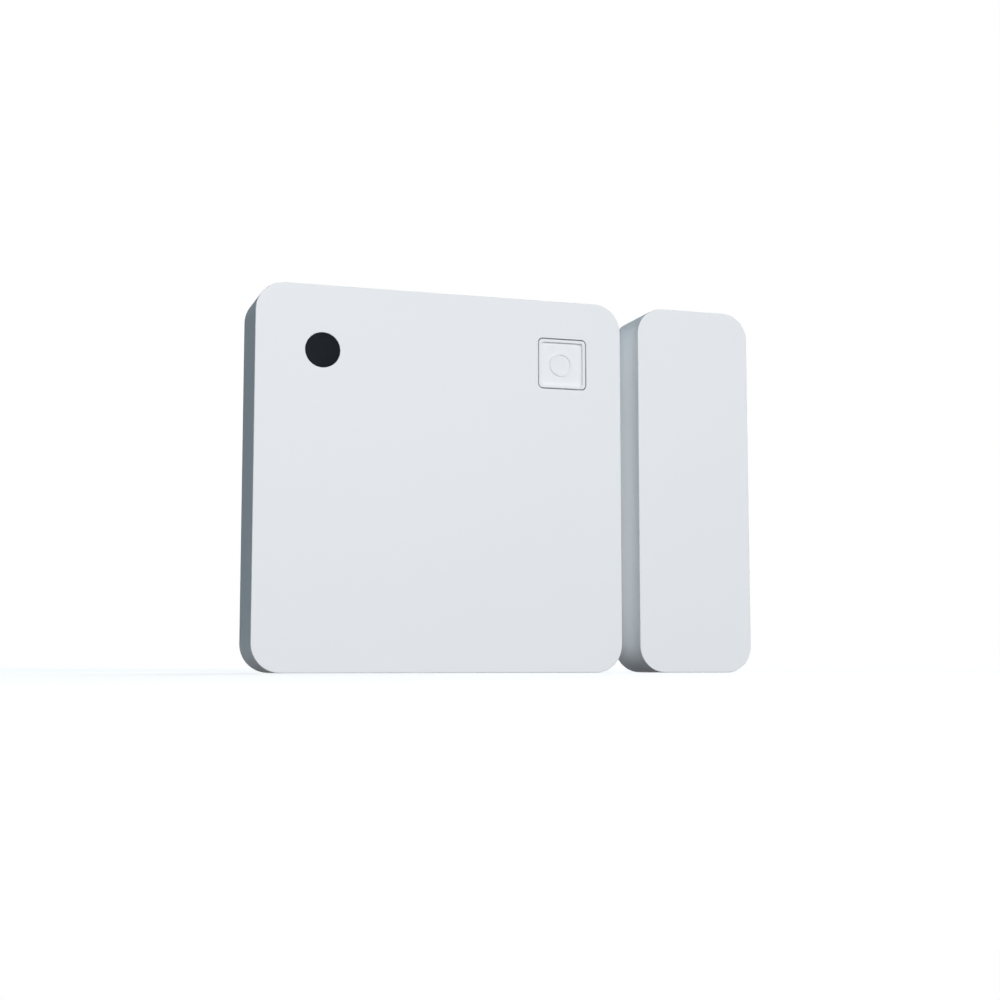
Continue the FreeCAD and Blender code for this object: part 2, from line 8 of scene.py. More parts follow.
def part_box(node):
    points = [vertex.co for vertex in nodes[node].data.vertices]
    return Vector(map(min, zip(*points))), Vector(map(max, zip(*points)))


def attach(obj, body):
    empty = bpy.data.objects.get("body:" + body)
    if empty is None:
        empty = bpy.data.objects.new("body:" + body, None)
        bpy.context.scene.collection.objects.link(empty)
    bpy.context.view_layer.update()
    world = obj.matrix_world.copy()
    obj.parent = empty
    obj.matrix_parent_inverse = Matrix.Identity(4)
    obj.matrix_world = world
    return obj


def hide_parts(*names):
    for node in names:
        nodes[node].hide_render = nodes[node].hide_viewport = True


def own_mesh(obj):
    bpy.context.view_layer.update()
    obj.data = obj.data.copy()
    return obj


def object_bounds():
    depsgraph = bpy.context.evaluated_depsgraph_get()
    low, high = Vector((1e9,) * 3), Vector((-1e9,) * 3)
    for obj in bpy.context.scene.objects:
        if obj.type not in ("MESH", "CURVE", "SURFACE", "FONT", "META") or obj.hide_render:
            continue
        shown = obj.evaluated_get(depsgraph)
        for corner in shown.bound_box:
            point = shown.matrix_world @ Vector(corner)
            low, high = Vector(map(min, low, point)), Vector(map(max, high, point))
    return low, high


# Door and window sensor: looks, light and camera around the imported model, in its frame.
# X runs to the right, Y into the frame that the units are stuck to, and Z up.

MM = 0.001

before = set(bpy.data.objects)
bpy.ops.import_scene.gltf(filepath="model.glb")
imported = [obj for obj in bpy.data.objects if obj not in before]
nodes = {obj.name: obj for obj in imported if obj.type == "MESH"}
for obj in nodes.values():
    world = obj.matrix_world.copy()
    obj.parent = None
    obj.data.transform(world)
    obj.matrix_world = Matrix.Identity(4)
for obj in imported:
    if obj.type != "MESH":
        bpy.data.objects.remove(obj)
cad_low, cad_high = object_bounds()
board_low, board_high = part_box("circuit_board")
cell_low, cell_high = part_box("cell_can")
cell_middle = (cell_low + cell_high) / 2


# Shader sums and finishes

class Signal:
    """Output of a shader node. A sum of signals and numbers adds its Math nodes."""

    def __init__(self, finish, socket):
        self.finish = finish
        self.socket = socket

    def math(self, operation, *values):
        return self.finish.add("Math", {"operation": operation}, dict(enumerate(values)))

    def __add__(self, other):
        return self.math("ADD", self, other)

    __radd__ = __add__

    def __sub__(self, other):
        return self.math("SUBTRACT", self, other)

    def __rsub__(self, other):
        return self.math("SUBTRACT", other, self)

    def __mul__(self, other):
        return self.math("MULTIPLY", self, other)

    __rmul__ = __mul__

    def __gt__(self, other):
        return self.math("GREATER_THAN", self, other)

    def __lt__(self, other):
        return self.math("LESS_THAN", self, other)

    def __abs__(self):
        return self.math("ABSOLUTE", self)

    def larger(self, other):
        return self.math("MAXIMUM", self, other)

    def smaller(self, other):
        return self.math("MINIMUM", self, other)

    def root(self):
        return self.math("SQRT", self)

    def sine(self):
        return self.math("SINE", self)


def link_or_set(tree, socket, value):
    """Link a signal to a socket, or set a plain value on it."""
    if isinstance(value, Signal):
        tree.links.new(value.socket, socket)
    else:
        socket.default_value = value


class Finish:
    """A material while it is made: its nodes and its surface shader."""

    def __init__(self, name, tree=None):
        if tree is None:
            self.material = bpy.data.materials.new(name)
            self.material.use_nodes = True
            tree = self.material.node_tree
        self.tree = tree
        self.shader = tree.nodes.get("Principled BSDF")

    def add(self, kind, settings=None, sockets=None, output=0):
        """New node of a kind: its settings first, then the values or links of its sockets."""
        node = self.tree.nodes.new("ShaderNode" + kind)
        for key, value in (settings or {}).items():
            setattr(node, key, value)
        for key, value in (sockets or {}).items():
            link_or_set(self.tree, node.inputs[key], value)
        return Signal(self, node.outputs[output])

    def surface(self, **values):
        """Sockets of the surface shader, by name with underscores for spaces."""
        for name, value in values.items():
            link_or_set(self.tree, self.shader.inputs[name.replace("_", " ")], value)
        return self.material

    def place(self):
        return self.add("TexCoord", output="Object")

    def axes(self):
        """How far across, how deep and how high a point lies, in metres."""
        place = self.place()
        return [self.add("SeparateXYZ", None, {0: place}, output=index) for index in range(3)]

    def noise(self, size, detail=2.0, stretch=(1, 1, 1)):
        """Noise between 0 and 1 whose grain is about the given size, in metres."""
        spot = self.place()
        if stretch != (1, 1, 1):
            spot = self.add("Mapping", None, {"Vector": spot, "Scale": stretch})
        return self.add("TexNoise", None, {"Vector": spot, "Scale": 1 / size, "Detail": detail})

    def cells(self, size, feature="F1"):
        """Round cells of about the given size: 0 at the middle of each, and higher between them."""
        sockets = {"Vector": self.place(), "Scale": 1 / size}
        return self.add("TexVoronoi", {"feature": feature}, sockets)

    def mix(self, mask, low, high):
        """Colour that goes from low to high as the mask goes from 0 to 1."""
        return self.add("Mix", {"data_type": "RGBA"}, {0: mask, 6: low, 7: high}, output=2)

    def shade(self, colour, amount, mask):
        """Colour that gets darker and lighter by an amount as the mask goes from 0 to 1."""
        low = [value * (1 - amount) for value in colour[:3]] + [1.0]
        high = [min(1.0, value * (1 + amount)) for value in colour[:3]] + [1.0]
        return self.mix(mask, low, high)

    def bump(self, height, distance):
        return self.add("Bump", None, {"Height": height, "Distance": distance})


def moulded(name, colour, roughness, grain, relief, level=0.3):
    """Moulded plastic: fine spark texture, faint flow clouds and an uneven sheen."""
    finish = Finish(name)
    clouds = finish.noise(14 * MM, 1.0)
    fine = finish.noise(grain, 3.0)
    coarse = finish.noise(grain * 6, 1.0)
    return finish.surface(
        Base_Color=finish.shade(colour, 0.012, clouds * 0.7 + fine * 0.3),
        Roughness=roughness + (coarse - 0.5) * 0.1 + (fine - 0.5) * 0.08,
        Specular_IOR_Level=level,
        Normal=finish.bump(fine * 0.7 + coarse * 0.3, relief),
    )


def smoked_acrylic():
    """Very dark polished lens with a faint haze."""
    finish = Finish("smoked_acrylic")
    haze = finish.noise(0.6 * MM, 2.0)
    return finish.surface(
        Base_Color=finish.shade((0.003, 0.006, 0.010, 1), 0.15, haze),
        Roughness=0.16 + haze * 0.06,
        Specular_IOR_Level=0.06,
        Normal=finish.bump(haze, 0.002 * MM),
    )


def rubber(name, colour):
    """Matt rubber with a dusting of talc."""
    finish = Finish(name)
    skin = finish.noise(0.25 * MM, 4.0)
    talc = finish.noise(1.8 * MM, 3.0)
    return finish.surface(
        Base_Color=finish.mix((talc - 0.45) * 0.5, colour, (0.12, 0.12, 0.12, 1)),
        Roughness=0.72 + talc * 0.15,
        Specular_IOR_Level=0.35,
        Normal=finish.bump(skin, 0.015 * MM),
    )


def foam_surface():
    """Closed-cell foam: open bubbles where it is cut, a smoother skin between them."""
    finish = Finish("grey_foam")
    bubbles = finish.cells(0.28 * MM)
    small = finish.cells(0.11 * MM)
    pits = bubbles * 0.75 + small * 0.25
    patches = finish.noise(5 * MM, 2.0)
    tone = (pits * 0.8 + patches * 0.35).smaller(1.0)
    return finish.surface(
        Base_Color=finish.mix(tone, (0.26, 0.27, 0.29, 1), (0.43, 0.44, 0.46, 1)),
        Roughness=0.86 - pits * 0.12,
        Specular_IOR_Level=0.3,
        Normal=finish.bump(pits, 0.05 * MM),
    )


def adhesive_surface():
    """Tacky film over the foam: fine pores show through, with a few faint roller marks."""
    finish = Finish("adhesive_film")
    pores = finish.cells(0.22 * MM, "SMOOTH_F1")
    marks = finish.noise(3.5 * MM, 2.0, (0.25, 1, 1))
    clouds = finish.noise(9 * MM, 2.0)
    tone = pores * 0.45 + marks * 0.25 + clouds * 0.3
    return finish.surface(
        Base_Color=finish.mix(tone, (0.66, 0.67, 0.67, 1), (0.84, 0.84, 0.82, 1)),
        Roughness=0.38 + pores * 0.2 + marks * 0.12,
        Specular_IOR_Level=0.4,
        Normal=finish.bump(pores * 0.7 + marks * 0.3, 0.012 * MM),
    )


def drawn_metal(name, colour, roughness, streak=(1, 1, 14)):
    """Rolled or drawn metal: fine streaks along it, dull patches and small dents."""
    finish = Finish(name)
    streaks = finish.noise(0.9 * MM, 3.0, streak)
    dull = finish.noise(1.6 * MM, 2.0)
    return finish.surface(
        Base_Color=finish.shade(colour, 0.10, streaks * 0.6 + dull * 0.4),
        Metallic=1.0,
        Roughness=roughness + (streaks - 0.5) * 0.16 + (dull - 0.5) * 0.12,
        Normal=finish.bump(streaks * 0.7 + dull * 0.3, 0.002 * MM),
    )


def solder():
    """Tin and solder: soft lumps with a frosted skin."""
    finish = Finish("bright_solder")
    lumps = finish.noise(0.5 * MM, 2.0)
    frost = finish.noise(0.05 * MM, 3.0)
    return finish.surface(
        Base_Color=finish.shade((0.74, 0.74, 0.73, 1), 0.12, lumps * 0.5 + frost * 0.5),
        Metallic=1.0,
        Roughness=0.30 + lumps * 0.16 + frost * 0.12,
        Normal=finish.bump(lumps * 0.8 + frost * 0.2, 0.02 * MM),
    )


def turned_steel():
    """Pressed cell steel with faint rings about the cell's axis."""
    finish = Finish("cell_plate")
    across, _, upward = finish.axes()
    out_x = across - cell_middle.x
    out_z = upward - cell_middle.z
    radius = (out_x * out_x + out_z * out_z).root()
    ring_width = 0.12 * MM
    sockets = {"W": radius, "Scale": 1 / ring_width, "Detail": 3.0}
    rings = finish.add("TexNoise", {"noise_dimensions": "1D"}, sockets)
    scuffs = finish.noise(1.4 * MM, 4.0)
    return finish.surface(
        Base_Color=finish.shade((0.72, 0.72, 0.71, 1), 0.09, rings * 0.6 + scuffs * 0.4),
        Metallic=1.0,
        Roughness=0.28 + (rings - 0.5) * 0.14 + (scuffs - 0.5) * 0.18,
        Normal=finish.bump(rings * 0.6 + scuffs * 0.4, 0.003 * MM),
    )


def plated_magnet():
    """Nickel plate over sintered metal: bright, with a slight orange peel."""
    finish = Finish("nickel_plate")
    peel = finish.noise(0.35 * MM, 2.0)
    stains = finish.noise(4 * MM, 3.0)
    return finish.surface(
        Base_Color=finish.mix(stains, (0.60, 0.59, 0.56, 1), (0.74, 0.73, 0.71, 1)),
        Metallic=1.0,
        Roughness=0.16 + peel * 0.12 + stains * 0.08,
        Normal=finish.bump(peel, 0.006 * MM),
    )


def solder_mask():
    """Green lacquer over woven glass; the cut edges of the board show the bare laminate."""
    finish = Finish("green_board")
    across, depth, upward = finish.axes()
    threads = math.tau / (0.45 * MM)
    weave = (across * threads).sine() * (upward * threads).sine()
    mottle = finish.noise(2.5 * MM, 3.0)
    fibres = finish.noise(0.3 * MM, 3.0, (1, 9, 1))
    skin = 0.01 * MM
    edge = (depth > board_low.y + skin) * (depth < board_high.y - skin)
    lacquer = finish.mix(mottle, (0.012, 0.13, 0.055, 1), (0.028, 0.19, 0.085, 1))
    laminate = finish.mix(fibres, (0.30, 0.27, 0.13, 1), (0.46, 0.42, 0.24, 1))
    return finish.surface(
        Base_Color=finish.mix(edge, lacquer, laminate),
        Roughness=0.34 + edge * 0.4 + (mottle - 0.5) * 0.12,
        Normal=finish.bump(weave * 0.25 + mottle * 0.5 + edge * fibres, 0.006 * MM),
    )


def copper_under_lacquer():
    """Track seen through the lacquer: a paler green, a little proud."""
    finish = Finish("lacquered_track")
    mottle = finish.noise(0.8 * MM, 3.0)
    return finish.surface(
        Base_Color=finish.mix(mottle, (0.03, 0.24, 0.10, 1), (0.06, 0.32, 0.14, 1)),
        Roughness=0.3 + mottle * 0.12,
        Normal=finish.bump(mottle, 0.004 * MM),
    )


def gold_pad():
    """Thin gold over nickel, slightly grainy."""
    finish = Finish("gold_pad")
    grain = finish.noise(0.06 * MM, 3.0)
    tone = finish.noise(0.7 * MM, 2.0)
    return finish.surface(
        Base_Color=finish.mix(tone, (0.80, 0.56, 0.24, 1), (0.93, 0.70, 0.36, 1)),
        Metallic=1.0,
        Roughness=0.24 + grain * 0.16 + tone * 0.06,
        Normal=finish.bump(grain, 0.004 * MM),
    )


def printed_white():
    """White print on the board, thin at its edges."""
    finish = Finish("white_print")
    patches = finish.noise(0.15 * MM, 3.0)
    return finish.surface(
        Base_Color=finish.mix(patches, (0.62, 0.64, 0.60, 1), (0.84, 0.85, 0.82, 1)),
        Roughness=0.6 + patches * 0.2,
        Normal=finish.bump(patches, 0.004 * MM),
    )


def moulded_epoxy(name, colour):
    """Filled epoxy of a chip: matt, with fine glittering grains."""
    finish = Finish(name)
    grains = finish.noise(0.05 * MM, 4.0)
    swirl = finish.noise(1.5 * MM, 2.0)
    return finish.surface(
        Base_Color=finish.mix(grains * 0.6 + swirl * 0.4, colour, (0.06, 0.06, 0.064, 1)),
        Roughness=0.58 + grains * 0.2,
        Specular_IOR_Level=0.4,
        Normal=finish.bump(grains, 0.006 * MM),
    )


def fired_ceramic():
    """Tan ceramic of the small capacitors and the antenna."""
    finish = Finish("tan_ceramic")
    speckle = finish.cells(0.07 * MM)
    clouds = finish.noise(0.9 * MM, 3.0)
    return finish.surface(
        Base_Color=finish.mix(
            clouds * 0.6 + speckle * 0.4, (0.45, 0.33, 0.22, 1), (0.64, 0.50, 0.36, 1)
        ),
        Roughness=0.5 + clouds * 0.2,
        Normal=finish.bump(speckle, 0.008 * MM),
    )


def light_part_case():
    """Cloudy resin of the two parts behind the window, with a darker chip in the middle."""
    finish = Finish("cloudy_resin")
    across, _, upward = finish.axes()
    cloud = finish.noise(0.4 * MM, 2.0)
    half_chip = 0.28 * MM
    chip = None
    for part in ("status_led", "light_sensor"):
        low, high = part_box(part)
        middle = (low + high) / 2
        off = abs(across - middle.x).larger(abs(upward - middle.z))
        inside = off < half_chip
        chip = inside if chip is None else chip.larger(inside)
    body = finish.mix(cloud, (0.78, 0.77, 0.66, 1), (0.90, 0.89, 0.82, 1))
    return finish.surface(
        Base_Color=finish.mix(chip, body, (0.35, 0.27, 0.08, 1)),
        Roughness=0.22 + cloud * 0.14,
        Normal=finish.bump(cloud, 0.01 * MM),
    )


def tinted_glass():
    """Pale green glass of the reed switch, with drawn streaks."""
    finish = Finish("green_glass")
    streaks = finish.noise(0.5 * MM, 2.0, (6, 6, 1))
    return finish.surface(
        Base_Color=finish.mix(streaks, (0.62, 0.84, 0.68, 1), (0.74, 0.92, 0.78, 1)),
        Roughness=0.03 + streaks * 0.06,
        IOR=1.5,
        Transmission_Weight=0.9,
        Normal=finish.bump(streaks, 0.004 * MM),
    )


housing_plastic = moulded("housing_plastic", (0.87, 0.89, 0.90, 1), 0.55, 0.12 * MM, 0.004 * MM)
# painted shade: the button is the housing's white plastic a shade darker, to dim its recessed panel
button_plastic_painted_darker = moulded("button_plastic_white", (0.86, 0.88, 0.89, 1), 0.55, 0.10 * MM, 0.003 * MM)
back_plastic = moulded("back_plastic", (0.80, 0.82, 0.83, 1), 0.6, 0.18 * MM, 0.010 * MM)
dark_plastic = moulded("dark_plastic", (0.025, 0.025, 0.028, 1), 0.5, 0.15 * MM, 0.008 * MM, 0.45)
clip_steel = drawn_metal("clip_steel", (0.72, 0.68, 0.58, 1), 0.30)
reed_alloy = drawn_metal("reed_alloy", (0.68, 0.66, 0.61, 1), 0.28, (8, 8, 1))
can_nickel = drawn_metal("can_nickel", (0.66, 0.65, 0.62, 1), 0.34, (1, 14, 14))
bright_solder = solder()
chip_epoxy = moulded_epoxy("chip_epoxy", (0.018, 0.018, 0.020, 1))

node_finishes = (
    (housing_plastic, ("front_shell", "magnet_shell")),
    (button_plastic_painted_darker, ("button_cap",)),
    (back_plastic, ("back_cover", "magnet_back_cover")),
    (smoked_acrylic(), ("window_lens",)),
    (rubber("black_gasket", (0.018, 0.018, 0.018, 1)), ("light_gasket",)),
    (rubber("cell_seal_ring", (0.05, 0.05, 0.055, 1)), ("cell_gasket",)),
    (dark_plastic, ("battery_holder", "switch_body", "switch_plunger")),
    (clip_steel, ("negative_contact", "positive_contact", "switch_cover", "switch_dome")),
    (reed_alloy, ("reed_fixed_blade", "reed_moving_blade", "reed_lead")),
    (tinted_glass(), ("reed_glass",)),
    (can_nickel, ("crystal_can",)),
    (bright_solder, ("switch_terminals",)),
    (turned_steel(), ("cell_can", "cell_cap")),
    (moulded_epoxy("pressed_powder", (0.10, 0.10, 0.10, 1)), ("cell_filling",)),
    (plated_magnet(), ("bar_magnet",)),
    (solder_mask(), ("circuit_board",)),
    (chip_epoxy, ("radio_chip", "resistors")),
    (fired_ceramic(), ("capacitors", "chip_antenna", "supply_capacitor")),
    (light_part_case(), ("status_led", "light_sensor")),
)
for node_finish, names in node_finishes:
    for name in names:
        nodes[name].data.materials[0] = node_finish


# Modelling by hand: a primitive, edit-mode steps, and its place in its mesh

sharp_angle = math.radians(40)  # an edge sharper than this is eased, and never shaded smooth
near = 0.01 * MM  # what lies this close to a place counts as at it
sunk = 0.01 * MM  # how far flat pieces reach into the board
rooted = 0.02 * MM  # how far raised pieces reach into what carries them


def in_mm(steps):
    """Pairs of depth and radius, written in millimetres."""
    return [(depth * MM, radius * MM) for depth, radius in steps]


def shift(x, y, z):
    return Matrix.Translation((x, y, z))


def block(low, high):
    """Cube primitive between two corners, with its place in its mesh."""
    low = Vector(low)
    high = Vector(high)
    bpy.ops.object.select_all(action="DESELECT")
    bpy.ops.mesh.primitive_cube_add(size=1, location=(low + high) / 2, scale=high - low)
    bpy.ops.object.transform_apply(location=True, rotation=True, scale=True)
    return bpy.context.object


def edit(piece, kind, test):
    """Enter edit mode with just the faces, edges or verts of a piece that pass a test."""
    bpy.context.view_layer.objects.active = piece
    bpy.ops.object.mode_set(mode="EDIT")
    bpy.ops.mesh.select_mode(type=kind)
    bpy.ops.mesh.select_all(action="DESELECT")
    mesh = bmesh.from_edit_mesh(piece.data)
    parts = {"FACE": mesh.faces, "EDGE": mesh.edges, "VERT": mesh.verts}[kind]
    for part in parts:
        if test(part):
            part.select_set(True)
    bmesh.update_edit_mesh(piece.data)


def middle_of(part):
    """Middle of a vert, edge or face, the same in whatever order its verts come."""
    verts = getattr(part, "verts", [part])
    return [math.fsum(vert.co[axis] for vert in verts) / len(verts) for axis in range(3)]


def done():
    """Leave edit mode with the parts of the mesh in order of place, the same on each run."""
    piece = bpy.context.object
    mesh = bmesh.from_edit_mesh(piece.data)
    for parts in (mesh.verts, mesh.edges, mesh.faces):
        for rank, part in enumerate(sorted(parts, key=middle_of)):
            part.index = rank
        parts.sort()
    bmesh.update_edit_mesh(piece.data)
    bpy.ops.object.mode_set(mode="OBJECT")


def runs_along(edge, axis):
    """True for an edge that runs along one axis."""
    line = edge.verts[1].co - edge.verts[0].co
    return abs(line[axis]) > 0.99 * line.length


def round_corners(piece, axis, radius, segments):
    """Round the four long edges of a block that run along an axis."""
    edit(piece, "EDGE", lambda edge: runs_along(edge, axis))
    bpy.ops.mesh.bevel(offset=radius, segments=segments, affect="EDGES")
    done()


def ease_edges(piece, width):
    """Small bevel on every sharp edge."""
    easing = piece.modifiers.new("easing", "BEVEL")
    easing.width = width
    easing.segments = 2
    easing.limit_method = "ANGLE"
    easing.angle_limit = sharp_angle
    bpy.context.view_layer.objects.active = piece
    bpy.ops.object.modifier_apply(modifier=easing.name)


def turned(steps, sides=24):
    """Round piece on the Y axis: a cone, then one extrusion for each further depth and radius."""
    first_depth, first_radius = steps[0]
    depth, radius = steps[1]
    bpy.ops.object.select_all(action="DESELECT")
    bpy.ops.mesh.primitive_cone_add(
        vertices=sides,
        radius1=first_radius,
        radius2=radius,
        depth=depth - first_depth,
        location=(0, (first_depth + depth) / 2, 0),
        rotation=(-math.pi / 2, 0, 0),
    )
    bpy.ops.object.transform_apply(location=True, rotation=True, scale=True)
    piece = bpy.context.object
    edit(piece, "FACE", lambda face: face.normal.y > 0.99)
    for next_depth, next_radius in steps[2:]:
        out = (0, next_depth - depth, 0)
        bpy.ops.mesh.extrude_region_move(TRANSFORM_OT_translate={"value": out})
        grown = next_radius / radius
        bpy.ops.transform.resize(value=(grown, 1, grown), center_override=(0, next_depth, 0))
        depth = next_depth
        radius = next_radius
    done()
    return piece


def strip(route, width, seat, height):
    """Flat strip on the back of the board, mitred at each corner of its route in mm."""
    points = [Vector((x * MM, seat + height, z * MM)) for x, z in route]
    run = points[1] - points[0]
    middle = points[0] + Vector((run.length / 2, 0, 0))
    bpy.ops.object.select_all(action="DESELECT")
    bpy.ops.mesh.primitive_plane_add(size=1, location=middle, rotation=(-math.pi / 2, 0, 0))
    bpy.ops.object.transform_apply(location=True, rotation=True, scale=True)
    piece = bpy.context.object
    edit(piece, "FACE", lambda face: True)
    bpy.ops.transform.resize(value=(run.length, 1, width), center_override=middle)
    heading = math.atan2(run.z, run.x)
    bpy.ops.transform.rotate(value=heading, orient_axis="Y", center_override=points[0])
    done()

    def at_far_end(edge):
        return ((edge.verts[0].co + edge.verts[1].co) / 2 - points[1]).length < near

    edit(piece, "EDGE", at_far_end)
    for corner, target in zip(points[1:], points[2:]):
        run = target - corner
        half = math.remainder(math.atan2(run.z, run.x) - heading, math.tau) / 2
        heading += 2 * half
        for place, grown in ((corner, 1 / math.cos(half)), (target, math.cos(half))):
            if place is target:
                bpy.ops.mesh.extrude_region_move(TRANSFORM_OT_translate={"value": run})
            bpy.ops.transform.rotate(value=half, orient_axis="Y", center_override=place)
            bpy.ops.transform.resize(value=(grown, 1, grown), center_override=place)
    done()
    plate = piece.modifiers.new("plate", "SOLIDIFY")
    plate.thickness = height + sunk
    plate.offset = -1
    bpy.context.view_layer.objects.active = piece
    bpy.ops.object.modifier_apply(modifier=plate.name)
    return piece


def join(pieces):
    bpy.ops.object.select_all(action="DESELECT")
    for piece in pieces:
        piece.select_set(True)
    bpy.context.view_layer.objects.active = pieces[0]
    bpy.ops.object.join()
    return pieces[0]


def repeat(model, places):
    """Copies of a model, each with its own mesh moved by a matrix, joined in its stead."""
    twins = []
    for place in places:
        twin = model.copy()
        twin.data = model.data.copy()
        twin.data.transform(place)
        bpy.context.scene.collection.objects.link(twin)
        twins.append(twin)
    bpy.data.objects.remove(model)
    return join(twins)


def fit(piece, name, body, finish):
    """Name a piece, give it its finish, and let it ride on its body."""
    piece.name = name
    piece.data.name = name
    piece.data.materials.clear()
    piece.data.materials.append(finish)
    bpy.ops.object.select_all(action="DESELECT")
    piece.select_set(True)
    bpy.context.view_layer.objects.active = piece
    bpy.ops.object.shade_smooth_by_angle(angle=sharp_angle)
    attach(piece, body)


def solid_boxes(node):
    """Corners of each separate solid of a node that groups several, in a fixed order."""
    mesh = bmesh.new()
    mesh.from_mesh(nodes[node].data)
    bmesh.ops.remove_doubles(mesh, verts=mesh.verts, dist=0.001 * MM)
    waiting = set(mesh.verts)
    boxes = []
    while waiting:
        ready = [waiting.pop()]
        found = []
        while ready:
            vert = ready.pop()
            found.append(vert.co.copy())
            for edge in vert.link_edges:
                other = edge.other_vert(vert)
                if other in waiting:
                    waiting.remove(other)
                    ready.append(other)
        low = Vector(min(point[axis] for point in found) for axis in range(3))
        high = Vector(max(point[axis] for point in found) for axis in range(3))
        boxes.append((low, high))
    mesh.free()
    return sorted(boxes, key=lambda box: [round(value / MM, 3) for value in box[0]])


# Foam pads with their adhesive films

pad_corner = 1.5 * MM
film_thickness = 0.06 * MM
film_margin = 0.12 * MM  # from the foam's edge in to the film's
pad_swell = ((0.2, 0.05), (0.5, 0.09), (0.8, 0.05))  # share of the depth, and mm out at each side


def foam_pad(node, body):
    """Foam pad that bulges a little between the cover and the wall, and its wall-side film."""
    low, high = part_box(node)
    pad = block(low, (high.x, high.y - film_thickness, high.z))
    round_corners(pad, 1, pad_corner, 10)
    centre = (low + high) / 2
    depth = high.y - film_thickness - low.y
    for share, swell in pad_swell:
        edit(pad, "FACE", lambda face: True)
        level = low.y + share * depth
        bpy.ops.mesh.bisect(plane_co=(0, level, 0), plane_no=(0, 1, 0))
        grown = [1 + swell * MM / (high[axis] - centre[axis]) for axis in (0, 2)]
        bpy.ops.transform.resize(value=(grown[0], 1, grown[1]), center_override=centre)
        done()
    edit(pad, "FACE", lambda face: abs(face.normal.y) > 0.99)
    bpy.ops.mesh.inset(thickness=0.5 * MM)
    done()
    film = block(
        (low.x + film_margin, high.y - film_thickness, low.z + film_margin),
        (high.x - film_margin, high.y, high.z - film_margin),
    )
    round_corners(film, 1, pad_corner, 10)
    ease_edges(film, 0.02 * MM)
    fit(pad, node.replace("_pad", ""), body, grey_foam)
    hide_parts(node)
    fit(film, node.replace("foam_pad", "adhesive_film"), body, adhesive)


grey_foam = foam_surface()
adhesive = adhesive_surface()
foam_pad("sensor_foam_pad", "base")
foam_pad("magnet_foam_pad", "magnet_unit")


# Ends and solder fillets of the small parts on the board

def chip_end(length, width, height):
    """Metal end cap and solder fillet at the +X end of a part that stands out towards -Y."""
    skin = 0.015 * MM
    reach = length / 2 + skin
    band = min(0.25 * length, 0.45 * MM)
    fillet = ((0.18 * height, 0.62), (0.42 * height, 0.12))  # how far out, and share of the height
    cap = block((reach - band, -height - skin, -width / 2 - skin), (reach, 0, width / 2 + skin))

    def at_end(face):
        return face.normal.x > 0.7 or abs(face.calc_center_median().x - reach) < near

    for out, share in fillet:
        edit(cap, "FACE", at_end)
        bpy.ops.mesh.extrude_region_move(TRANSFORM_OT_translate={"value": (out, 0, 0)})
        reach += out
        bpy.ops.transform.resize(value=(1, share, 1), center_override=(reach, 0, 0))
        done()
    ease_edges(cap, 0.03 * MM)
    return cap


def part_ends(node, name):
    """Both ends of each part in a node, whichever way it lies and stands."""
    boxes = solid_boxes(node)
    low, high = boxes[0]
    size = high - low
    long_axis = 0 if size.x > size.z else 2
    behind = low.y > board_low.y
    model = chip_end(size[long_axis], size[2 - long_axis], size.y)
    quarter = 0 if long_axis == 0 else 90
    flip = Matrix.Rotation(math.pi, 4, "X") if behind else Matrix.Identity(4)
    seat = board_high.y if behind else board_low.y
    places = []
    for low, high in boxes:
        middle = (low + high) / 2
        middle.y = seat
        for side in (0, 180):
            turn = Matrix.Rotation(math.radians(quarter + side), 4, "Y")
            places.append(Matrix.Translation(middle) @ flip @ turn)
    fit(repeat(model, places), name, "sensor_unit", bright_solder)


part_ends("capacitors", "capacitor_ends")
part_ends("resistors", "resistor_ends")
part_ends("chip_antenna", "antenna_ends")
part_ends("supply_capacitor", "supply_capacitor_ends")


# Solder, leads, rivets and the switch's dome

def chip_leads():
    """Solder-wetted leads along the four sides of the radio chip, on the board's front."""
    low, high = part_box("radio_chip")
    middle = (low + high) / 2
    out = (high.x - low.x) / 2
    count = 8
    pitch = 0.5 * MM
    root = 0.05 * MM  # inside the chip
    length = 0.12 * MM
    width = 0.26 * MM
    height = 0.16 * MM
    toe = 0.2 * MM
    lead = block((-root, -height, -width / 2), (length, 0, width / 2))
    edit(lead, "FACE", lambda face: face.normal.x > 0.9)
    bpy.ops.transform.resize(value=(1, 0.35, 1), center_override=(length, 0, 0))
    bpy.ops.mesh.extrude_region_move(TRANSFORM_OT_translate={"value": (toe, 0, 0)})
    bpy.ops.transform.resize(value=(1, 0.2, 1), center_override=(length + toe, 0, 0))
    done()
    places = []
    for side in range(4):
        turn = Matrix.Rotation(side * math.pi / 2, 4, "Y")
        for index in range(count):
            along = (index - (count - 1) / 2) * pitch
            places.append(shift(middle.x, board_low.y, middle.z) @ turn @ shift(out, 0, along))
    fit(repeat(lead, places), "radio_pads", "sensor_unit", bright_solder)


def switch_rivets():
    """Heads of the four pins that hold the switch's steel cover."""
    low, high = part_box("switch_cover")
    middle = (low + high) / 2
    steps = ((0.04, 0.29), (0.065, 0.24), (0.08, 0.14), (0.083, 0.05))
    head = turned([(-rooted, 0.30 * MM)] + in_mm(steps))
    flip = Matrix.Rotation(math.pi, 4, "X")
    reach = 1.35 * MM
    places = [
        shift(middle.x + x * reach, low.y, middle.z + z * reach) @ flip
        for x in (-1, 1) for z in (-1, 1)
    ]
    fit(repeat(head, places), "switch_rivets", "sensor_unit", dark_plastic)


